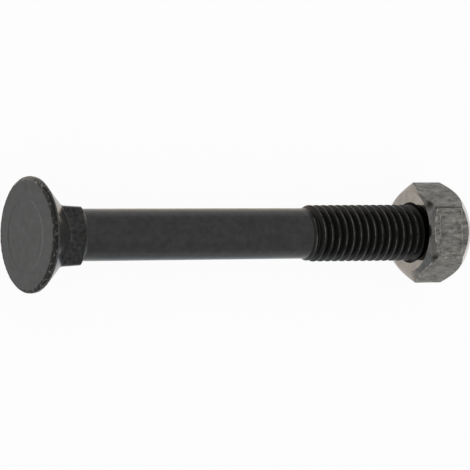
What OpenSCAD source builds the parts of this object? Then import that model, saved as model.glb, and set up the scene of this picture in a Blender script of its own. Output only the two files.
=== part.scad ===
// Plough bolt with its hexagon nut: a forged bolt with a flat countersunk head and a short square
// neck, a plain shank and a rolled thread. The axis lies along +X, from the head's face at X = 0.

/* [Bolt] */
// Length from the head's face to the end of the thread
bolt_length = 100; // [70:1:200]
// Diameter of the plain shank
shank_d = 10.7; // [10:0.05:11.5]

/* [Head] */
// Largest diameter of the head
head_d = 24; // [20:0.5:30]
// Width of the bevelled rim around the flat face
rim_width = 0.8; // [0.3:0.1:1.5]
// Depth of the bevelled rim below the flat face
rim_depth = 0.3; // [0.2:0.1:1]
// Height of the straight land between the rim and the countersink
rim_land = 0.5; // [0.1:0.1:1]
// Full angle of the countersink under the head
countersink_angle = 90; // [80:1:100]

/* [Square neck] */
// Width across flats where the neck's corners leave the countersink
neck_width = 12.7; // [12:0.1:14]
// Distance from the head's face to where the neck runs out on the shank
neck_length = 10.9; // [10:0.1:20]
// Draft angle of the flats, narrowing towards the shank
neck_draft = 3.1; // [0:0.1:5]
// How far the corners are rounded in from sharp
neck_corner_trim = 0.8; // [0.2:0.1:1.2]
// Full angle of the cone that chamfers the neck's end
neck_chamfer_angle = 126; // [90:1:140]
// How far the run-out stands proud of the shank where the chamfer ends
neck_runout_width = 0.6; // [0.3:0.1:1]
// Length of the run-out, from the chamfer's end to the plain shank
neck_runout_length = 0.9; // [0.4:0.1:2]

/* [Thread] */
// Diameter over the thread's crests
thread_d = 11.85; // [11.6:0.05:14]
// Pitch, which is the nut's travel in one turn
thread_pitch = 1.75; // [1:0.05:2.5]
// Length of the threaded end, with its run-out into the shank
thread_length = 35; // [25:1:60]
// Turns over which the thread runs out into the shank
thread_runout_turns = 0.4; // [0.2:0.1:2]
// Depth of the chamfer at the thread's end
thread_chamfer = 1.1; // [0.5:0.1:2]

/* [Nut] */
// Width across flats
nut_width = 18.5; // [17.5:0.1:24]
// Height
nut_height = 9.8; // [6:0.1:14]
// How far the six corner edges are rounded in from sharp
nut_corner_trim = 0.08; // [0.02:0.01:0.3]
// How far inside the flats the circle of the bearing face lies
nut_bearing_inset = 0.6; // [0.3:0.1:1.8]
// Slope of the chamfer round the bearing face
nut_bearing_slope = 26; // [15:1:45]
// How far inside the flats the circle of the outer face lies
nut_outer_inset = 1.25; // [0.4:0.05:1.8]
// Slope of the chamfer round the outer face
nut_outer_slope = 42; // [15:1:45]
// Radial play of the nut on the thread
nut_play = 0.05; // [0.02:0.01:0.1]
// How far the countersunk mouths open out beyond the bore
nut_mouth_width = 0.5; // [0.2:0.1:0.8]
// Full angle of the countersunk mouths
nut_mouth_angle = 120; // [90:1:130]
// How far the nut stands past the bolt's end
nut_overhang = 1.6; // [-20:0.1:4]

/* [Hidden] */
$fn = 96;

black_steel = [0.20, 0.20, 0.19];
bare_steel = [0.43, 0.42, 0.40];

head_r = head_d / 2;
face_r = head_r - rim_width;
shank_r = shank_d / 2;
thread_r = thread_d / 2;

// The countersink falls by one slope from the rim's land to the shank.
countersink_slope = tan(countersink_angle / 2);
countersink_start = rim_depth + rim_land;
countersink_end = countersink_start + (head_r - shank_r) / countersink_slope;

// The neck's corners come out of the countersink where it is as wide as they are.
neck_corner_r = neck_width / 2 * sqrt(2) - neck_corner_trim;
neck_root = countersink_start + (head_r - neck_corner_r) / countersink_slope;
neck_buried = neck_root / 2;

// Its end is chamfered steeply down to the run-out, a slimmer cone that is carried on inside the shank.
neck_runout_r = shank_r + neck_runout_width;
neck_runout_start = neck_length - neck_runout_length;
neck_chamfer_slope = tan(neck_chamfer_angle / 2);
neck_chamfer_start = neck_runout_start - (neck_corner_r - neck_runout_r) / neck_chamfer_slope;
neck_tip = neck_length + shank_r * neck_runout_length / neck_runout_width;

thread_start = bolt_length - thread_length;
thread_full = thread_start + thread_runout_turns * thread_pitch;

nut_bearing_x = bolt_length + nut_overhang - nut_height;
nut_sharp_r = nut_width / 2 / cos(30);
nut_corner_r = nut_sharp_r - nut_corner_trim;
nut_bearing_r = nut_width / 2 - nut_bearing_inset;
nut_outer_r = nut_width / 2 - nut_outer_inset;
nut_bearing_chamfer = (nut_corner_r - nut_bearing_r) * tan(nut_bearing_slope);
nut_outer_chamfer = (nut_corner_r - nut_outer_r) * tan(nut_outer_slope);
nut_bore_r = thread_r + nut_play;
nut_mouth_r = nut_bore_r + nut_mouth_width;
nut_mouth_slope = tan(nut_mouth_angle / 2);
nut_mouth_depth = nut_mouth_width / nut_mouth_slope;
// The bore is cut this far past both faces.
cut_past = 1;

// Half the neck's width at a distance x from the head's face
function neck_half(x) = neck_width / 2 - (x - neck_root) * tan(neck_draft);

// Turns an outline of [radius, distance along the axis] points about the X axis
module turned(outline) {
    rotate([0, 90, 0])
        rotate_extrude()
            polygon(outline);
}

// Head, shank and thread in one outline
module turned_body() {
    turned([
        [0, 0],
        [face_r, 0],
        [head_r, rim_depth],
        [head_r, countersink_start],
        [shank_r, countersink_end],
        [shank_r, thread_start],
        [thread_r, thread_full],
        [thread_r, bolt_length - thread_chamfer],
        [thread_r - thread_chamfer, bolt_length],
        [0, bolt_length]
    ]);
}

// One pair of opposite neck flats, facing +Y and -Y
module neck_flats() {
    linear_extrude(height = 2 * head_r, center = true)
        polygon([
            [neck_buried, -neck_half(neck_buried)],
            [neck_tip, -neck_half(neck_tip)],
            [neck_tip, neck_half(neck_tip)],
            [neck_buried, neck_half(neck_buried)]
        ]);
}

// Drafted square with rounded corners, its root buried in the countersink and its end running out
// on the shank
module square_neck() {
    intersection() {
        neck_flats();
        rotate([90, 0, 0]) neck_flats();
        turned([
            [0, neck_buried],
            [neck_corner_r, neck_buried],
            [neck_corner_r, neck_chamfer_start],
            [neck_runout_r, neck_runout_start],
            [0, neck_tip]
        ]);
    }
}

module bolt() {
    color(black_steel)
        union() {
            turned_body();
            square_neck();
        }
}

// Hexagon prism of the nut's height, one flat facing +Z
module nut_hexagon() {
    rotate([0, 90, 0])
        linear_extrude(height = nut_height)
            rotate(30)
                circle(r = nut_sharp_r, $fn = 6);
}

// The turned outline that rounds the hexagon's corners and chamfers them towards both faces
module nut_outline() {
    turned([
        [0, 0],
        [nut_bearing_r, 0],
        [nut_corner_r, nut_bearing_chamfer],
        [nut_corner_r, nut_height - nut_outer_chamfer],
        [nut_outer_r, nut_height],
        [0, nut_height]
    ]);
}

// The threaded hole at its widest, with a countersunk mouth at each face
module nut_bore() {
    mouth_past = nut_mouth_r + cut_past * nut_mouth_slope;
    turned([
        [0, -cut_past],
        [mouth_past, -cut_past],
        [nut_bore_r, nut_mouth_depth],
        [nut_bore_r, nut_height - nut_mouth_depth],
        [mouth_past, nut_height + cut_past],
        [0, nut_height + cut_past]
    ]);
}

module nut() {
    color(bare_steel)
        translate([nut_bearing_x, 0, 0])
            difference() {
                intersection() {
                    nut_hexagon();
                    nut_outline();
                }
                nut_bore();
            }
}

bolt();
nut();
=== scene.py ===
import math

import bmesh
import bpy
from mathutils import Matrix, Vector, noise


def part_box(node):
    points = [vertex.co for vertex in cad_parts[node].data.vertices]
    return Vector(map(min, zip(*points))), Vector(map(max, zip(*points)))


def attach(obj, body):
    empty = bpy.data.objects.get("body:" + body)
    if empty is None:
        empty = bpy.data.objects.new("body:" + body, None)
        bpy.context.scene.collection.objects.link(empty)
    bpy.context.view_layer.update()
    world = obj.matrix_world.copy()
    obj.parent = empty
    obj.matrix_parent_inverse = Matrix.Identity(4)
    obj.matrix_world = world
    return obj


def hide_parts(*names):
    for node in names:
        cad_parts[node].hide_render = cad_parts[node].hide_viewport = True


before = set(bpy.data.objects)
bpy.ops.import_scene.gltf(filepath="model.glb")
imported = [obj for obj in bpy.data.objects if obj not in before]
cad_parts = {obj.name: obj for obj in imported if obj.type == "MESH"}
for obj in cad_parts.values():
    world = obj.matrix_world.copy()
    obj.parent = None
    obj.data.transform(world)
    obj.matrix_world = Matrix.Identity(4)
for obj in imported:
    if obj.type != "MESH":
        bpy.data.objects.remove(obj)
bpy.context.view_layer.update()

# The bolt: one bar of steel, hot-forged with a flat countersunk head and a short square neck.
# The thread is rolled, so it is thicker than the plain shank. The whole bolt is then blackened
# in an oxide bath and oiled. Its sizes are in millimetres, and X runs from the head's face.
MM = 0.001
bolt_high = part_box("bolt")[1]
bolt_length = bolt_high.x / MM
head_r = bolt_high.y / MM
head_columns = 480

# The flat face with a shallow round impression, both off-centre as forged. Rings of points close to
# the edges hold the face flat.
face_r = head_r - 0.75
face_off = Vector((0.05, -0.78))
face_hold = 0.3
punch_r = 7.4
punch_depth = 0.05
punch_wall = 0.12
punch_off = Vector((0.0, -1.3))

# The rim: a ragged bevel that falls away from the face and turns down, then a straight land.
rim_from = punch_r + 2
rim_land = 0.35
rim_back = 0.85
rim_off = Vector((0.1, -0.05))
rim_fall = 0.2
rim_turn_down = 0.13
rim_grain = 0.9
rim_fine_grain = 0.4
rim_fine_share = 0.7
rim_rough_in = 0.1
rim_rough_out = 0.06
rim_rough_gain = 4
rim_land_smooth = 0.7
bevel_rings = 9
land_rings = 3

# The square neck, drafted towards the shank and a little low on it. Its end is uneven: later at the
# sides and corners than on top.
neck_half_width = 6.35
neck_root = 4.5
neck_low = 0.2
neck_draft = math.tan(math.radians(3.1))
neck_squareness = 10
neck_end = 10.0
neck_end_r = 6.05
neck_end_slope = 1.95
neck_fillet_end = 10.9
end_late = 0.35
end_early_on_top = 0.5
end_late_at_corners = 0.35
end_ragged = 0.15
end_waves = 4
end_blend = 0.2
corner_blend = 0.15
shank_blend = 0.1
cone_blend = 0.45
forged_from = 3.4
forged_to = 11.8
forged_rings = 69

# The shank and the thread. Teeth are counted from the first full crest.
shank_r = 5.3
shank_root_r = 5.42
shank_joint = 63.0
crest_r = 5.925
crest_place = 67.43
thread_pitch = 1.75
thread_cut = 64.2
thread_start = 65.1
thread_full = 66.9
thread_chamfer = 1.1
thread_columns = 144
thread_teeth = range(-4, 21)

# How close two points, a cut and a point, or two places have to be to count as one.
merge_within = 0.002
cut_within = 1e-4
slack = 0.01
around = 0.1

# One tooth of the metric thread: places along the axis and down from the crest, in pitches.
crest_half = 1 / 16
flank_foot = 0.375
flank_slope = math.tan(math.radians(60))
root_arc = 0.1443
root_depth = 0.6134
tooth_half = [
    (crest_half, 0.0),
    (flank_foot, (flank_foot - crest_half) * flank_slope),
    (0.5 - root_arc * 0.5, root_depth - root_arc * (1 - math.cos(math.radians(30)))),
]
tooth = [(-along, down) for along, down in reversed(tooth_half)] + tooth_half + [(0.5, root_depth)]


def spun_thread(bm, radius, teeth):
    """Spins a row of teeth through one turn that gains one pitch, so each tooth meets the next."""
    row = []
    for k in teeth:
        for along, down in tooth:
            place = crest_place + (k + along) * thread_pitch
            row.append(bm.verts.new(Vector((place, 0, radius - down * thread_pitch)) * MM))
    edges = [bm.edges.new(pair) for pair in zip(row, row[1:])]
    gain = Vector((thread_pitch * MM / thread_columns, 0, 0))
    bmesh.ops.spin(bm, geom=row + edges, cent=(0, 0, 0), axis=(1, 0, 0), dvec=gain,
                   angle=math.tau, steps=thread_columns)
    bmesh.ops.remove_doubles(bm, verts=bm.verts[:], dist=merge_within * MM)


def cut_square(bm, place, side):
    """Cuts the mesh square to the axis and clears what lies before (-1) or past (1) the place."""
    geom = bm.verts[:] + bm.edges[:] + bm.faces[:]
    bmesh.ops.bisect_plane(bm, geom=geom, dist=cut_within * MM, plane_co=(place * MM, 0, 0),
                           plane_no=(1, 0, 0), clear_inner=side < 0, clear_outer=side > 0)


def open_edges(bm, from_x, to_x):
    """The open edges between two places along the axis."""
    return [e for e in bm.edges if e.is_boundary
            and all(from_x * MM < v.co.x < to_x * MM for v in e.verts)]


def set_radius(vert, radius):
    """Moves a vertex straight out from the axis, or in, to the radius in millimetres."""
    vert.co.yz = vert.co.yz.normalized() * radius * MM


def soft_max(a, b, blend):
    """The larger of two radii, with a fillet where they are alike."""
    near = max(blend - abs(a - b), 0) / blend
    return max(a, b) + near * near * blend / 4


def neck_shift(angle):
    """How far the neck's uneven end lies past its mean place, at an angle from the top."""
    ragged = noise.noise(Vector((math.cos(angle), math.sin(angle), 0)) * end_waves)
    on_top = math.cos(angle) ** 2
    at_corners = math.sin(2 * angle) ** 2
    return end_late - end_early_on_top * on_top + end_late_at_corners * at_corners + end_ragged * ragged


def forged_radius(x, angle):
    """Radius of the forging where the countersink, the drafted square neck and the shank meet."""
    cone = head_r - (x - rim_back)
    half = neck_half_width - (x - neck_root) * neck_draft
    half_aside = half - math.copysign(neck_low, math.sin(angle))
    across = abs(math.cos(angle) / half) ** neck_squareness
    aside = abs(math.sin(angle) / half_aside) ** neck_squareness
    square = (across + aside) ** (-1 / neck_squareness)
    end = x - neck_shift(angle)
    end_cone = neck_end_r + (neck_end - end) * neck_end_slope
    left = (neck_fillet_end - end) / (neck_fillet_end - neck_end)
    fillet = shank_root_r + (neck_end_r - shank_root_r) * left
    neck = -soft_max(-square, -soft_max(end_cone, fillet, end_blend), corner_blend)
    return soft_max(cone, soft_max(neck, shank_root_r, shank_blend), cone_blend)


bm = bmesh.new()
spun_thread(bm, crest_r, thread_teeth)
for vert in bm.verts:
    x = vert.co.x / MM
    grown = min(max((x - thread_start) / (thread_full - thread_start), 0), 1)
    radius = shank_r + (vert.co.yz.length / MM - shank_r) * grown * grown * (3 - 2 * grown)
    chamfer = crest_r - (x - bolt_length + thread_chamfer)
    set_radius(vert, min(radius, chamfer))
cut_square(bm, thread_cut, -1)
cut_square(bm, bolt_length, 1)
bmesh.ops.holes_fill(bm, edges=open_edges(bm, bolt_length - around, bolt_length + around), sides=0)

outline = [
    (punch_depth, 0),
    (punch_depth, punch_r - face_hold),
    (punch_depth, punch_r - punch_wall),
    (0, punch_r + punch_wall),
    (0, punch_r + face_hold),
    (0, face_r - face_hold),
    (0, face_r),
    (rim_land, head_r),
    (rim_back, head_r),
    (forged_from, head_r - forged_from + rim_back),
    (forged_to, shank_root_r),
    (shank_joint, shank_r),
]
row = [bm.verts.new(Vector((x, 0, r)) * MM) for x, r in outline]
edges = [bm.edges.new(pair) for pair in zip(row, row[1:])]
bevel_edge, land_edge, forged_edge = edges[6], edges[7], edges[9]
bmesh.ops.subdivide_edges(bm, edges=[bevel_edge], cuts=bevel_rings)
bmesh.ops.subdivide_edges(bm, edges=[land_edge], cuts=land_rings)
bmesh.ops.subdivide_edges(bm, edges=[forged_edge], cuts=forged_rings)
head_row = [v for v in bm.verts if v.is_wire]
head_edges = [e for e in bm.edges if e.is_wire]
bmesh.ops.spin(bm, geom=head_row + head_edges, cent=(0, 0, 0), axis=(1, 0, 0),
               angle=math.tau, steps=head_columns, use_merge=True)
pole = [v for v in bm.verts if v.co.yz.length < slack * MM]
bmesh.ops.remove_doubles(bm, verts=pole, dist=slack * MM)
for vert in bm.verts:
    x = vert.co.x / MM
    radius = vert.co.yz.length / MM
    angle = math.atan2(vert.co.y, vert.co.z)
    if forged_from < x < forged_to:
        set_radius(vert, forged_radius(x, angle))
    elif x < rim_back + slack and radius < punch_r + face_hold + slack:
        vert.co.yz += punch_off * MM
    elif x < rim_back + slack:
        out = vert.co.yz.normalized()
        along = min(max((radius - face_r) / (head_r - face_r), 0), 1)
        down = (x - rim_land) / (rim_back - rim_land) if along == 1 else 0
        wide = head_r - face_r + out.dot(rim_off - face_off)
        fall = max(wide, 0) * along * (rim_fall + rim_turn_down * along ** 3)
        fine = noise.noise(vert.co / (rim_fine_grain * MM))
        rough = noise.noise(vert.co / (rim_grain * MM)) + rim_fine_share * fine
        ragged = min(along * rim_rough_gain, 1) * (1 - rim_land_smooth * down)
        vert.co.x = (fall + (rim_back - fall) * down + rim_rough_in * rough * ragged) * MM
        moved = face_off * (1 - along) + rim_off * along + out * rim_rough_out * rough * ragged
        vert.co.yz += moved * MM
bmesh.ops.bridge_loops(bm, edges=open_edges(bm, shank_joint - around, thread_cut + around))
bmesh.ops.recalc_face_normals(bm, faces=bm.faces[:])


def as_piece(bm, name, sharp=20):
    """Makes the mesh an object of its own, smooth but for its sharp edges."""
    mesh = bpy.data.meshes.new(name)
    bm.to_mesh(mesh)
    bm.free()
    mesh.shade_smooth()
    mesh.set_sharp_from_angle(angle=math.radians(sharp))
    piece = bpy.data.objects.new(name, mesh)
    bpy.context.scene.collection.objects.link(piece)
    return piece


bolt = as_piece(bm, "forged_bolt", sharp=12)


def linear(colour):
    """An sRGB hex colour as linear red, green, blue and alpha."""
    parts = [int(colour[i:i + 2], 16) / 255 for i in (1, 3, 5)]
    return [p / 12.92 if p <= 0.04045 else ((p + 0.055) / 1.055) ** 2.4 for p in parts] + [1.0]


def add(tree, kind, settings, inputs):
    """Adds a node with its settings, and sets or links its inputs."""
    made = tree.nodes.new(kind)
    for name, value in settings.items():
        setattr(made, name, value)
    for name, value in inputs.items():
        if isinstance(value, bpy.types.NodeSocket):
            tree.links.new(value, made.inputs[name])
        else:
            made.inputs[name].default_value = value
    return made


def new_material(name):
    """An empty node material and its tree."""
    material = bpy.data.materials.new(name)
    material.use_nodes = True
    material.node_tree.nodes.clear()
    return material, material.node_tree


# Blackened steel: a thin oxide skin that is almost black, under a film of oil. The skin has no
# colour of its own to speak of, so what shows is the sheen of the oil, strongest at the edges.
blackened, tree = new_material("blackened_steel")
coords = add(tree, "ShaderNodeTexCoord", {}, {})
stain = add(tree, "ShaderNodeTexNoise", {}, {
    "Vector": coords.outputs["Object"], "Scale": 1 / (4 * MM), "Detail": 4.0, "Roughness": 0.6})
grit = add(tree, "ShaderNodeTexNoise", {}, {
    "Vector": coords.outputs["Object"], "Scale": 1 / (0.35 * MM), "Detail": 3.0, "Roughness": 0.6})
colour = add(tree, "ShaderNodeValToRGB", {}, {"Fac": stain.outputs["Fac"]})
colour.color_ramp.elements[0].position = 0.35
colour.color_ramp.elements[0].color = linear("#090908")
colour.color_ramp.elements[1].position = 0.7
colour.color_ramp.elements[1].color = linear("#141413")
sheen = add(tree, "ShaderNodeMapRange", {}, {
    "Value": stain.outputs["Fac"], "From Min": 0.3, "From Max": 0.7, "To Min": 0.15, "To Max": 0.28})
bump = add(tree, "ShaderNodeBump", {}, {
    "Height": grit.outputs["Fac"], "Strength": 0.25, "Distance": 0.03 * MM})
patch = add(tree, "ShaderNodeTexNoise", {}, {
    "Vector": coords.outputs["Object"], "Scale": 1 / (1.8 * MM), "Detail": 5.0, "Roughness": 0.7})
gloss = add(tree, "ShaderNodeMapRange", {}, {
    "Value": patch.outputs["Fac"], "From Min": 0.35, "From Max": 0.65, "To Min": 0.4, "To Max": 0.58})
skin = add(tree, "ShaderNodeBsdfPrincipled", {}, {
    "Base Color": colour.outputs["Color"], "Metallic": 0.0, "IOR": 1.5,
    "Roughness": sheen.outputs["Result"], "Specular IOR Level": gloss.outputs["Result"],
    "Normal": bump.outputs["Normal"]})
add(tree, "ShaderNodeOutputMaterial", {}, {"Surface": skin.outputs["BSDF"]})

# Forge scale, blackened with the rest: drier and duller than the drawn steel, with a coarse grain.
scale, tree = new_material("forge_scale")
coords = add(tree, "ShaderNodeTexCoord", {}, {})
grain = add(tree, "ShaderNodeTexNoise", {}, {
    "Vector": coords.outputs["Object"], "Scale": 1 / (0.9 * MM), "Detail": 3.0, "Roughness": 0.6})
colour = add(tree, "ShaderNodeValToRGB", {}, {"Fac": grain.outputs["Fac"]})
colour.color_ramp.elements[0].position = 0.35
colour.color_ramp.elements[0].color = linear("#080807")
colour.color_ramp.elements[1].position = 0.7
colour.color_ramp.elements[1].color = linear("#121211")
bump = add(tree, "ShaderNodeBump", {}, {
    "Height": grain.outputs["Fac"], "Strength": 0.2, "Distance": 0.05 * MM})
gloss = add(tree, "ShaderNodeMapRange", {}, {
    "Value": grain.outputs["Fac"], "From Min": 0.35, "From Max": 0.65, "To Min": 0.33, "To Max": 0.72})
skin = add(tree, "ShaderNodeBsdfPrincipled", {}, {
    "Base Color": colour.outputs["Color"], "Metallic": 0.0, "IOR": 1.4, "Roughness": 0.2,
    "Specular IOR Level": gloss.outputs["Result"], "Normal": bump.outputs["Normal"]})
add(tree, "ShaderNodeOutputMaterial", {}, {"Surface": skin.outputs["BSDF"]})

# Scale pressed smooth by the die under the head: it mirrors the table where it is seen edge-on.
pressed, tree = new_material("pressed_scale")
skin = add(tree, "ShaderNodeBsdfPrincipled", {}, {
    "Base Color": linear("#1d1d1c"), "Metallic": 0.0, "IOR": 1.6, "Roughness": 0.17})
add(tree, "ShaderNodeOutputMaterial", {}, {"Surface": skin.outputs["BSDF"]})

# Steel rubbed through the black on the thread's crests, and the same bright steel along the neck's
# edges as painted highlights: broken, dull glints.
rubbed_and_highlit, tree = new_material("rubbed_steel_and_painted_highlights")
coords = add(tree, "ShaderNodeTexCoord", {}, {})
streak = add(tree, "ShaderNodeTexNoise", {}, {
    "Vector": coords.outputs["Object"], "Scale": 1 / (2.5 * MM), "Detail": 3.0, "Roughness": 0.7})
colour = add(tree, "ShaderNodeValToRGB", {}, {"Fac": streak.outputs["Fac"]})
colour.color_ramp.elements[0].position = 0.35
colour.color_ramp.elements[0].color = linear("#1c1c1b")
colour.color_ramp.elements[1].position = 0.75
colour.color_ramp.elements[1].color = linear("#6c6965")
skin = add(tree, "ShaderNodeBsdfPrincipled", {}, {
    "Base Color": colour.outputs["Color"], "Metallic": 1.0, "Roughness": 0.3})
add(tree, "ShaderNodeOutputMaterial", {}, {"Surface": skin.outputs["BSDF"]})

# Torn scale on the rim's bevel: dull black, with bright specks of bare steel that are painted glints of
# the ragged edge, most on one side.
torn_scale_and_glints, tree = new_material("torn_scale_painted_glints")
coords = add(tree, "ShaderNodeTexCoord", {}, {})
speck = add(tree, "ShaderNodeTexNoise", {}, {
    "Vector": coords.outputs["Object"], "Scale": 1 / (0.55 * MM), "Detail": 3.0, "Roughness": 0.6})
axes = add(tree, "ShaderNodeSeparateXYZ", {}, {"Vector": coords.outputs["Object"]})
glints_one_side = add(tree, "ShaderNodeMapRange", {}, {
    "Value": axes.outputs["Y"], "From Min": 8.5 * MM, "From Max": 11.5 * MM, "To Max": 0.2})
thin = add(tree, "ShaderNodeMath", {"operation": "ADD"}, {
    0: speck.outputs["Fac"], 1: glints_one_side.outputs["Result"]})
painted_glints = add(tree, "ShaderNodeMapRange", {}, {
    "Value": thin.outputs["Value"], "From Min": 0.55, "From Max": 0.72})
colour = add(tree, "ShaderNodeValToRGB", {}, {"Fac": painted_glints.outputs["Result"]})
colour.color_ramp.elements[0].color = linear("#090908")
colour.color_ramp.elements[1].color = linear("#78736b")
bump = add(tree, "ShaderNodeBump", {}, {
    "Height": speck.outputs["Fac"], "Strength": 0.5, "Distance": 0.08 * MM})
skin = add(tree, "ShaderNodeBsdfPrincipled", {}, {
    "Base Color": colour.outputs["Color"], "Metallic": painted_glints.outputs["Result"], "IOR": 1.3,
    "Roughness": 0.3, "Normal": bump.outputs["Normal"]})
add(tree, "ShaderNodeOutputMaterial", {}, {"Surface": skin.outputs["BSDF"]})

# Rolled thread: dull and blacker than the shank. In the nut's bore the same dark finish is painted
# shade.
dull_thread_and_bore_shade, tree = new_material("dull_thread_and_painted_bore_shade")
skin = add(tree, "ShaderNodeBsdfPrincipled", {}, {
    "Base Color": linear("#131312"), "Metallic": 0.0, "IOR": 1.3, "Roughness": 0.3})
add(tree, "ShaderNodeOutputMaterial", {}, {"Surface": skin.outputs["BSDF"]})

# Where each finish lies: the thread by its turns, the rest by how far a face is from the cone under
# the head and from the neck's end.
first_crest = -1.1
first_groove = -1.3
crest_margin = 0.01
facing = 0.6
cone_margin = 0.05
crease_from = 0.06
crease_to = 0.18
end_line = 0.12
bolt_finishes = [blackened, scale, pressed, rubbed_and_highlit, torn_scale_and_glints, dull_thread_and_bore_shade]
for material in bolt_finishes:
    bolt.data.materials.append(material)
for face in bolt.data.polygons:
    x = face.center.x / MM
    radius = face.center.yz.length / MM
    angle = math.atan2(face.center.y, face.center.z)
    past_neck = x - neck_fillet_end - neck_shift(angle)
    past_cone = radius - head_r + (x - rim_back)
    turns = (x - crest_place) / thread_pitch - math.atan2(-face.center.y, face.center.z) / math.tau
    finish = blackened
    if turns > first_crest and abs(turns - round(turns)) < crest_half + crest_margin:
        finish = rubbed_and_highlit
    elif turns > first_groove:
        finish = dull_thread_and_bore_shade
    elif slack < x < rim_back and radius > rim_from:
        finish = torn_scale_and_glints if abs(face.normal.x) > facing else pressed
    elif x > rim_back and face.normal.x > facing and (x < forged_from or past_cone < cone_margin):
        finish = pressed
    # Along the crease where the cone meets the neck: bright steel as a painted highlight.
    elif x > forged_from and crease_from < past_cone < crease_to:
        finish = rubbed_and_highlit
    elif x > rim_back and past_neck < -end_line:
        finish = scale
    # At the neck's end: a thin band of bright steel as a painted highlight.
    elif x > rim_back and past_neck < 0:
        finish = rubbed_and_highlit
    face.material_index = bolt_finishes.index(finish)
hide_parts("bolt")
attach(bolt, "bolt")

# The nut: cold-formed from bar, so its flats keep the dull skin of the rolled steel. Both faces
# and the chamfers are turned bright, and the thread is cut with a tap. It is screwed on the bolt.
nut_low, nut_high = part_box("nut")
nut_from, nut_to = nut_low.x / MM, nut_high.x / MM
flat_r = nut_high.z / MM
sharp_r = flat_r / math.cos(math.radians(30))
corner_round = 0.35
corner_steps = 4
nut_sharp = math.radians(20)

# The chamfer round the bearing face was turned off-centre, and its edge is rubbed round.
bearing_r = 8.5
bearing_slope = math.tan(math.radians(26.5))
bearing_off = Vector((0.3, -0.5))
outer_r = flat_r - 0.8
outer_slope = math.tan(math.radians(47.5))
cone_reach = sharp_r + 1
cone_columns = 180
edge_wear = 0.15
edge_steps = 2
edge_angle = math.radians(15)

# Two flats are pressed in by a hair, with a slanting border.
panel_from, panel_to = 93.5, 99.25
panel_margin = 0.25
panel_step = 0.4
panel_border = 0.15
panel_depth = 0.05
panel_facing = 0.99

# The bore, its two countersunk mouths and the tap. Cutters stand past both faces.
minor_r = 5.1
mouth_r = 6.45
mouth_margin = 0.05
mouth_slope = math.tan(math.radians(60))
bore_columns = 144
tap_play = 0.06
tap_teeth = range(11, 23)
past = 1.0

# Dark spots: place, stretch along the axis, and reach. A spot starts and is full at so many reaches
# from its place, and its edge is ragged.
dark_spots = [((92.4, 6.0, 7.1), 1, 1.05), ((92.8, -5.4, 8.3), 1, 0.8), ((95.5, 5.3, 9.2), 10, 0.45)]
spot_starts = 3.1
spot_full = 1.2
spot_ragged = 2.5
dark_spot_colour = linear("#35332e")


def turned_piece(outline, name, columns):
    """A closed solid turned about the axis from places and radii that start and end on it."""
    bm = bmesh.new()
    row = [bm.verts.new(Vector((x, 0, r)) * MM) for x, r in outline]
    edges = [bm.edges.new(pair) for pair in zip(row, row[1:])]
    bmesh.ops.spin(bm, geom=row + edges, cent=(0, 0, 0), axis=(1, 0, 0),
                   angle=math.tau, steps=columns, use_merge=True)
    bmesh.ops.remove_doubles(bm, verts=bm.verts[:], dist=cut_within * MM)
    bmesh.ops.recalc_face_normals(bm, faces=bm.faces[:])
    return as_piece(bm, name)


def cut_with(piece, cutter, operation):
    """Cuts the piece with the cutter, keeps the result as its mesh and removes the cutter."""
    knife = piece.modifiers.new("cut", "BOOLEAN")
    knife.object = cutter
    knife.operation = operation
    knife.solver = "EXACT"
    graph = bpy.context.evaluated_depsgraph_get()
    made = bpy.data.meshes.new_from_object(piece.evaluated_get(graph))
    piece.modifiers.clear()
    piece.data = made
    bpy.data.objects.remove(cutter)


def dark_spot_mask(tree, coords):
    """A mask of dark spots at two corners of the top flat and along one of them."""
    grain = add(tree, "ShaderNodeTexNoise", {}, {
        "Vector": coords.outputs["Object"], "Scale": 1 / (0.8 * MM), "Detail": 3.0, "Roughness": 0.7})
    mask = 0.0
    for place, stretch, reach in dark_spots:
        at = add(tree, "ShaderNodeMapping", {"vector_type": "TEXTURE"}, {
            "Vector": coords.outputs["Object"], "Location": Vector(place) * MM,
            "Scale": (stretch, 1, 1)})
        far = add(tree, "ShaderNodeVectorMath", {"operation": "LENGTH"}, {0: at.outputs["Vector"]})
        ragged = add(tree, "ShaderNodeMath", {"operation": "MULTIPLY_ADD"}, {
            0: grain.outputs["Fac"], 1: spot_ragged * reach * MM, 2: far.outputs["Value"]})
        spot = add(tree, "ShaderNodeMapRange", {"interpolation_type": "SMOOTHSTEP"}, {
            "Value": ragged.outputs["Value"], "From Min": spot_starts * reach * MM,
            "From Max": spot_full * reach * MM})
        mask = add(tree, "ShaderNodeMath", {"operation": "MAXIMUM"}, {
            0: spot.outputs["Result"], 1: mask}).outputs["Value"]
    return mask


# Dull rolled steel on the flats: grey, streaked along the bar by the rolling and by handling.
rolled, tree = new_material("rolled_steel")
coords = add(tree, "ShaderNodeTexCoord", {}, {})
along_bar = add(tree, "ShaderNodeMapping", {}, {
    "Vector": coords.outputs["Object"], "Scale": (0.45, 1, 1)})
mottle = add(tree, "ShaderNodeTexNoise", {}, {
    "Vector": along_bar.outputs["Vector"], "Scale": 1 / (1.1 * MM), "Detail": 6.0, "Roughness": 0.75})
colour = add(tree, "ShaderNodeValToRGB", {}, {"Fac": mottle.outputs["Fac"]})
colour.color_ramp.elements[0].position = 0.36
colour.color_ramp.elements[0].color = linear("#4d4c49")
colour.color_ramp.elements[1].position = 0.66
colour.color_ramp.elements[1].color = linear("#94928d")
bump = add(tree, "ShaderNodeBump", {}, {
    "Height": mottle.outputs["Fac"], "Strength": 0.3, "Distance": 0.05 * MM})
skin = add(tree, "ShaderNodeBsdfPrincipled", {}, {
    "Base Color": colour.outputs["Color"], "Metallic": 1.0, "Roughness": 0.35,
    "Normal": bump.outputs["Normal"]})
add(tree, "ShaderNodeOutputMaterial", {}, {"Surface": skin.outputs["BSDF"]})

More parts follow.
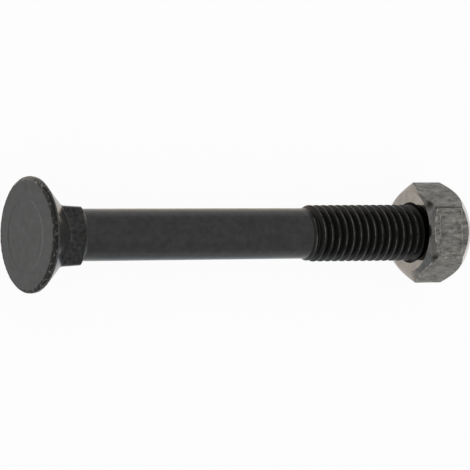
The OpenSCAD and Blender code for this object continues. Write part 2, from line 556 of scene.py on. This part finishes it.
# Turned steel on the two faces: brighter and slightly warm, almost a mirror, with faint smudges.
turned, tree = new_material("turned_steel")
coords = add(tree, "ShaderNodeTexCoord", {}, {})
smudge = add(tree, "ShaderNodeTexNoise", {}, {
    "Vector": coords.outputs["Object"], "Scale": 1 / (2 * MM), "Detail": 4.0, "Roughness": 0.6})
colour = add(tree, "ShaderNodeValToRGB", {}, {"Fac": smudge.outputs["Fac"]})
colour.color_ramp.elements[0].position = 0.3
colour.color_ramp.elements[0].color = linear("#8c8680")
colour.color_ramp.elements[1].position = 0.7
colour.color_ramp.elements[1].color = linear("#a39c94")
skin = add(tree, "ShaderNodeBsdfPrincipled", {}, {
    "Base Color": colour.outputs["Color"], "Metallic": 1.0, "Roughness": 0.1})
add(tree, "ShaderNodeOutputMaterial", {}, {"Surface": skin.outputs["BSDF"]})

# Steel rubbed on the nut's corners and edges: bright in short dashes, and dark at the dark spots.
worn, tree = new_material("worn_edge")
coords = add(tree, "ShaderNodeTexCoord", {}, {})
dash = add(tree, "ShaderNodeTexNoise", {}, {
    "Vector": coords.outputs["Object"], "Scale": 1 / (1.2 * MM), "Detail": 4.0, "Roughness": 0.7})
colour = add(tree, "ShaderNodeValToRGB", {}, {"Fac": dash.outputs["Fac"]})
colour.color_ramp.elements[0].position = 0.4
colour.color_ramp.elements[0].color = linear("#52504c")
colour.color_ramp.elements[1].position = 0.6
colour.color_ramp.elements[1].color = linear("#a5a29b")
spotted = add(tree, "ShaderNodeMix", {"data_type": "RGBA"}, {
    "Factor": dark_spot_mask(tree, coords), "A": colour.outputs["Color"], "B": dark_spot_colour})
skin = add(tree, "ShaderNodeBsdfPrincipled", {}, {
    "Base Color": spotted.outputs["Result"], "Metallic": 1.0, "Roughness": 0.25})
add(tree, "ShaderNodeOutputMaterial", {}, {"Surface": skin.outputs["BSDF"]})

# The chamfer round the bearing face: turned bright as the face is, and a duller grey on the upper side,
# past a line that is turned a little about the axis: a painted reflection of the dark bolt.
dark_side_turn = math.radians(-9)
dark_side_from, dark_side_to = 0.7, 3.2
chamfer_with_painted_reflection, tree = new_material("bearing_chamfer_painted_reflection")
coords = add(tree, "ShaderNodeTexCoord", {}, {})
smudge = add(tree, "ShaderNodeTexNoise", {}, {
    "Vector": coords.outputs["Object"], "Scale": 1 / (1.5 * MM), "Detail": 5.0, "Roughness": 0.7})
colour = add(tree, "ShaderNodeValToRGB", {}, {"Fac": smudge.outputs["Fac"]})
colour.color_ramp.elements[0].position = 0.3
colour.color_ramp.elements[0].color = linear("#5a5857")
colour.color_ramp.elements[1].position = 0.7
colour.color_ramp.elements[1].color = linear("#7a7876")
turned_about = add(tree, "ShaderNodeMapping", {}, {
    "Vector": coords.outputs["Object"], "Rotation": (dark_side_turn, 0, 0)})
axes = add(tree, "ShaderNodeSeparateXYZ", {}, {"Vector": turned_about.outputs["Vector"]})
painted_dark_side = add(tree, "ShaderNodeMapRange", {"interpolation_type": "SMOOTHSTEP"}, {
    "Value": axes.outputs["Z"], "From Min": dark_side_from * MM, "From Max": dark_side_to * MM})
metal = add(tree, "ShaderNodeMix", {"data_type": "RGBA"}, {
    "Factor": painted_dark_side.outputs["Result"], "A": linear("#98918a"), "B": colour.outputs["Color"]})
spotted = add(tree, "ShaderNodeMix", {"data_type": "RGBA"}, {
    "Factor": dark_spot_mask(tree, coords), "A": metal.outputs["Result"], "B": dark_spot_colour})
skin = add(tree, "ShaderNodeBsdfPrincipled", {}, {
    "Base Color": spotted.outputs["Result"], "Metallic": 1.0, "Roughness": 0.11})
add(tree, "ShaderNodeOutputMaterial", {}, {"Surface": skin.outputs["BSDF"]})

# The outer chamfer: turned steel painted brighter than the faces as a painted highlight, the brightest
# part of the nut.
bright_chamfer_highlight, tree = new_material("outer_chamfer_painted_highlight")
coords = add(tree, "ShaderNodeTexCoord", {}, {})
smudge = add(tree, "ShaderNodeTexNoise", {}, {
    "Vector": coords.outputs["Object"], "Scale": 1 / (1.5 * MM), "Detail": 4.0, "Roughness": 0.6})
colour = add(tree, "ShaderNodeValToRGB", {}, {"Fac": smudge.outputs["Fac"]})
colour.color_ramp.elements[0].position = 0.3
colour.color_ramp.elements[0].color = linear("#a9a5a0")
colour.color_ramp.elements[1].position = 0.7
colour.color_ramp.elements[1].color = linear("#d0ccc7")
skin = add(tree, "ShaderNodeBsdfPrincipled", {}, {
    "Base Color": colour.outputs["Color"], "Metallic": 1.0, "Roughness": 0.2})
add(tree, "ShaderNodeOutputMaterial", {}, {"Surface": skin.outputs["BSDF"]})

nut_finishes = [rolled, turned, worn, dull_thread_and_bore_shade, chamfer_with_painted_reflection, bright_chamfer_highlight]
worn_index = nut_finishes.index(worn)

bm = bmesh.new()
upright = Matrix.Translation(((nut_from - past) * MM, 0, 0)) @ Matrix.Rotation(math.radians(90), 4, "Y")
bmesh.ops.create_circle(bm, cap_ends=True, segments=6, radius=sharp_r * MM, matrix=upright)
pushed = bmesh.ops.extrude_face_region(bm, geom=bm.faces[:])
length = nut_to - nut_from + 2 * past
bmesh.ops.translate(bm, vec=(length * MM, 0, 0),
                    verts=[v for v in pushed["geom"] if isinstance(v, bmesh.types.BMVert)])
bmesh.ops.recalc_face_normals(bm, faces=bm.faces[:])
corner_edges = [e for e in bm.edges if abs(e.verts[0].co.x - e.verts[1].co.x) > past * MM]
corners = bmesh.ops.bevel(bm, geom=corner_edges, offset=corner_round * math.tan(math.radians(30)) * MM,
                          segments=corner_steps, profile=0.5, affect="EDGES", material=-1)["faces"]
for face in corners:
    face.material_index = worn_index
for place in (panel_from - panel_border, panel_to + panel_border):
    geom = bm.verts[:] + bm.edges[:] + bm.faces[:]
    bmesh.ops.bisect_plane(bm, geom=geom, dist=cut_within * MM, plane_co=(place * MM, 0, 0),
                           plane_no=(1, 0, 0))
panels = [f for f in bm.faces if abs(f.normal.z) > panel_facing
          and panel_from * MM < f.calc_center_median().x < panel_to * MM]
for face in panels:
    bmesh.ops.inset_individual(bm, faces=[face], thickness=panel_margin * MM, use_even_offset=True)
    for vert in face.verts:
        if vert.co.y < 0:
            vert.co.y += panel_step * MM
walls = bmesh.ops.inset_individual(bm, faces=panels, thickness=panel_border * MM,
                                   depth=-panel_depth * MM, use_even_offset=True)["faces"]
for face in walls:
    face.material_index = worn_index
nut = as_piece(bm, "hexagon_nut")
for material in nut_finishes:
    nut.data.materials.append(material)

chamfers = turned_piece([
    (nut_from, 0),
    (nut_from, bearing_r),
    (nut_from + (cone_reach - bearing_r) * bearing_slope, cone_reach),
    (nut_to - (cone_reach - outer_r) * outer_slope, cone_reach),
    (nut_to, outer_r),
    (nut_to, 0),
], "chamfers", cone_columns)
for vert in chamfers.data.vertices:
    if vert.co.x < panel_from * MM:
        vert.co.yz += bearing_off * MM
cut_with(nut, chamfers, "INTERSECT")

# A face whose normal leans this much along the axis is a chamfer, and past the second an end face.
chamfer_lean = 0.2
end_lean = 0.97
bm = bmesh.new()
bm.from_mesh(nut.data)
rim_edges = [e for e in bm.edges if e.calc_face_angle(0) > edge_angle
             and max(abs(f.normal.x) for f in e.link_faces) > chamfer_lean
             and min(abs(f.normal.x) for f in e.link_faces) < chamfer_lean
             and e.verts[0].co.x / MM < panel_from - around]
rims = bmesh.ops.bevel(bm, geom=rim_edges, offset=edge_wear * MM, segments=edge_steps, profile=0.5,
                       affect="EDGES", material=-1, clamp_overlap=False)["faces"]
for face in rims:
    face.material_index = worn_index
bm.to_mesh(nut.data)
bm.free()

mouth_depth = (mouth_r - minor_r) / mouth_slope
mouth_past_r = mouth_r + past * mouth_slope
bore = turned_piece([
    (nut_from - past, 0),
    (nut_from - past, mouth_past_r),
    (nut_from + mouth_depth, minor_r),
    (nut_to - mouth_depth, minor_r),
    (nut_to + past, mouth_past_r),
    (nut_to + past, 0),
], "bore", bore_columns)
cut_with(nut, bore, "DIFFERENCE")

bm = bmesh.new()
spun_thread(bm, crest_r + tap_play, tap_teeth)
cut_square(bm, nut_from - past, -1)
cut_square(bm, nut_to + past, 1)
bmesh.ops.holes_fill(bm, edges=[e for e in bm.edges if e.is_boundary], sides=0)
bmesh.ops.recalc_face_normals(bm, faces=bm.faces[:])
cut_with(nut, as_piece(bm, "tap"), "DIFFERENCE")

# The cuts leave doubled points along the thread's edges.
bm = bmesh.new()
bm.from_mesh(nut.data)
bmesh.ops.remove_doubles(bm, verts=bm.verts[:], dist=merge_within * MM)
bmesh.ops.dissolve_degenerate(bm, edges=bm.edges[:], dist=merge_within * MM)
bm.to_mesh(nut.data)
bm.free()
nut.data.set_sharp_from_angle(angle=nut_sharp)

for face in nut.data.polygons:
    finish = nut_finishes[face.material_index]
    lean = abs(face.normal.x)
    # In the bore and mouths: the dark thread finish as painted shade.
    if face.center.yz.length < (mouth_r - mouth_margin) * MM:
        finish = dull_thread_and_bore_shade
    elif finish == rolled and lean > end_lean:
        finish = turned
    # Chamfers: the bearing side with its painted reflection, the outer side as a painted highlight.
    elif finish == rolled and lean > chamfer_lean:
        finish = chamfer_with_painted_reflection if face.normal.x < 0 else bright_chamfer_highlight
    face.material_index = nut_finishes.index(finish)
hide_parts("nut")
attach(nut, "nut")

# The floor: a pale table that the bolt lies on, touching the head's rim and the nut's far edge.
# It is white to the camera, keeps the soft shadow, and glows in the metal's reflections with painted
# light:
# along the shank the glow is cool on one side and warm on the other, and brighter close by, a painted
# pool of light.
floor_size = 3.0
white_share = 0.94
rest_head = Vector((rim_back, 0, rim_off.y - head_r))
rest_nut = Vector((nut_to - (flat_r - outer_r) * outer_slope, 0, -flat_r))
floor_lean = math.atan2(rest_nut.z - rest_head.z, rest_nut.x - rest_head.x)
bm = bmesh.new()
place = Matrix.Translation(rest_head * MM) @ Matrix.Rotation(-floor_lean, 4, "Y")
bmesh.ops.create_grid(bm, x_segments=1, y_segments=1, size=floor_size, matrix=place)
floor = as_piece(bm, "floor")
white, tree = new_material("white_table_with_painted_glow")
path = add(tree, "ShaderNodeLightPath", {}, {})
seen = add(tree, "ShaderNodeMath", {"operation": "MAXIMUM"}, {
    0: path.outputs["Is Camera Ray"], 1: path.outputs["Is Glossy Ray"]})
seen = add(tree, "ShaderNodeMath", {"operation": "MAXIMUM"}, {
    0: seen.outputs["Value"], 1: path.outputs["Is Transmission Ray"]})
share = add(tree, "ShaderNodeMath", {"operation": "MULTIPLY"}, {
    0: seen.outputs["Value"], 1: white_share})
paper = add(tree, "ShaderNodeBsdfDiffuse", {}, {"Color": linear("#f4f4f4")})
coords = add(tree, "ShaderNodeTexCoord", {}, {})
axes = add(tree, "ShaderNodeSeparateXYZ", {}, {"Vector": coords.outputs["Object"]})
side = add(tree, "ShaderNodeMapRange", {"interpolation_type": "SMOOTHSTEP"}, {
    "Value": axes.outputs["Y"], "From Min": -15 * MM, "From Max": 15 * MM})
painted_side_tint = add(tree, "ShaderNodeMix", {"data_type": "RGBA"}, {
    "Factor": side.outputs["Result"], "A": linear("#cfd6db"), "B": linear("#fdf0de")})
front = add(tree, "ShaderNodeMapRange", {"interpolation_type": "SMOOTHSTEP"}, {
    "Value": axes.outputs["X"], "From Min": 32 * MM, "From Max": 18 * MM})
back = add(tree, "ShaderNodeMapRange", {"interpolation_type": "SMOOTHSTEP"}, {
    "Value": axes.outputs["X"], "From Min": 60 * MM, "From Max": 85 * MM})
ends = add(tree, "ShaderNodeMath", {"operation": "MAXIMUM"}, {
    0: front.outputs["Result"], 1: back.outputs["Result"]})
wide = add(tree, "ShaderNodeMapRange", {"interpolation_type": "SMOOTHSTEP"}, {
    "Value": axes.outputs["Y"], "From Min": 18 * MM, "From Max": 24 * MM})
plain = add(tree, "ShaderNodeMath", {"operation": "MAXIMUM"}, {
    0: ends.outputs["Value"], 1: wide.outputs["Result"]})
# The painted glow: tinted along the shank, plain near the ends and far aside.
sheen = add(tree, "ShaderNodeMix", {"data_type": "RGBA"}, {
    "Factor": plain.outputs["Value"], "A": painted_side_tint.outputs["Result"], "B": linear("#e9e9e8")})
shown = add(tree, "ShaderNodeMix", {"data_type": "RGBA"}, {
    "Factor": path.outputs["Is Camera Ray"], "A": sheen.outputs["Result"], "B": linear("#ffffff")})
aside = add(tree, "ShaderNodeMath", {"operation": "ABSOLUTE"}, {0: axes.outputs["Y"]})
# The painted glow is brighter close to the bolt: a painted pool of light.
near = add(tree, "ShaderNodeMapRange", {"interpolation_type": "SMOOTHSTEP"}, {
    "Value": aside.outputs["Value"], "From Min": 8 * MM, "From Max": 25 * MM,
    "To Min": 1.2, "To Max": 1.0})
strength = add(tree, "ShaderNodeMix", {"data_type": "FLOAT"}, {
    "Factor": path.outputs["Is Camera Ray"], "A": near.outputs["Result"], "B": 1.0})
painted_glow = add(tree, "ShaderNodeEmission", {}, {
    "Color": shown.outputs["Result"], "Strength": strength.outputs["Result"]})
both = add(tree, "ShaderNodeMixShader", {}, {
    0: share.outputs["Value"], 1: paper.outputs["BSDF"], 2: painted_glow.outputs["Emission"]})
add(tree, "ShaderNodeOutputMaterial", {}, {"Surface": both.outputs["Shader"]})
floor.data.materials.append(white)

# The light: a white tent all round, with no lamps, so the shadows are soft. It is a little brighter
# overhead than at the sides, and plain white to the camera.
world = bpy.data.worlds.new("tent")
bpy.context.scene.world = world
world.use_nodes = True
tree = world.node_tree
tree.nodes.clear()
coords = add(tree, "ShaderNodeTexCoord", {}, {})
axes = add(tree, "ShaderNodeSeparateXYZ", {}, {"Vector": coords.outputs["Generated"]})
height = add(tree, "ShaderNodeMapRange", {}, {
    "Value": axes.outputs["Z"], "From Min": 0.0, "From Max": 0.9, "To Min": 0.65, "To Max": 0.89})
path = add(tree, "ShaderNodeLightPath", {}, {})
level = add(tree, "ShaderNodeMix", {"data_type": "FLOAT"}, {
    "Factor": path.outputs["Is Camera Ray"], "A": height.outputs["Result"], "B": 1.0})
tent = add(tree, "ShaderNodeBackground", {}, {
    "Color": linear("#ffffff"), "Strength": level.outputs["Result"]})
add(tree, "ShaderNodeOutputWorld", {}, {"Surface": tent.outputs["Background"]})

# The camera looks down on the bolt from far away, 30 degrees off upright towards the head. Its
# distance and its place across and aside are in millimetres, and its focal length in pixels.
view_lean = math.radians(30.28)
view_roll = math.radians(-0.414)
view_distance = 1300
view_across = 42.27
view_aside = -0.24
pixels = 470
pixel_focus = 6357.8
sensor = 36
right = Vector((math.cos(view_lean), 0, math.sin(view_lean)))
ahead = Vector((math.sin(view_lean), 0, -math.cos(view_lean)))
up = Vector((0, 1, 0))
eye = right * view_across - ahead * view_distance + up * view_aside
rolled_right = right * math.cos(view_roll) + up * math.sin(view_roll)
rolled_up = up * math.cos(view_roll) - right * math.sin(view_roll)
lens = bpy.data.cameras.new("camera")
lens.sensor_width = sensor
lens.lens = pixel_focus * sensor / pixels
lens.clip_start, lens.clip_end = 0.01, 20
camera = bpy.data.objects.new("camera", lens)
camera.matrix_world = Matrix((rolled_right, rolled_up, -ahead)).transposed().to_4x4()
camera.location = eye * MM
bpy.context.scene.collection.objects.link(camera)
bpy.context.scene.camera = camera
bpy.context.scene.view_settings.view_transform = "Standard"
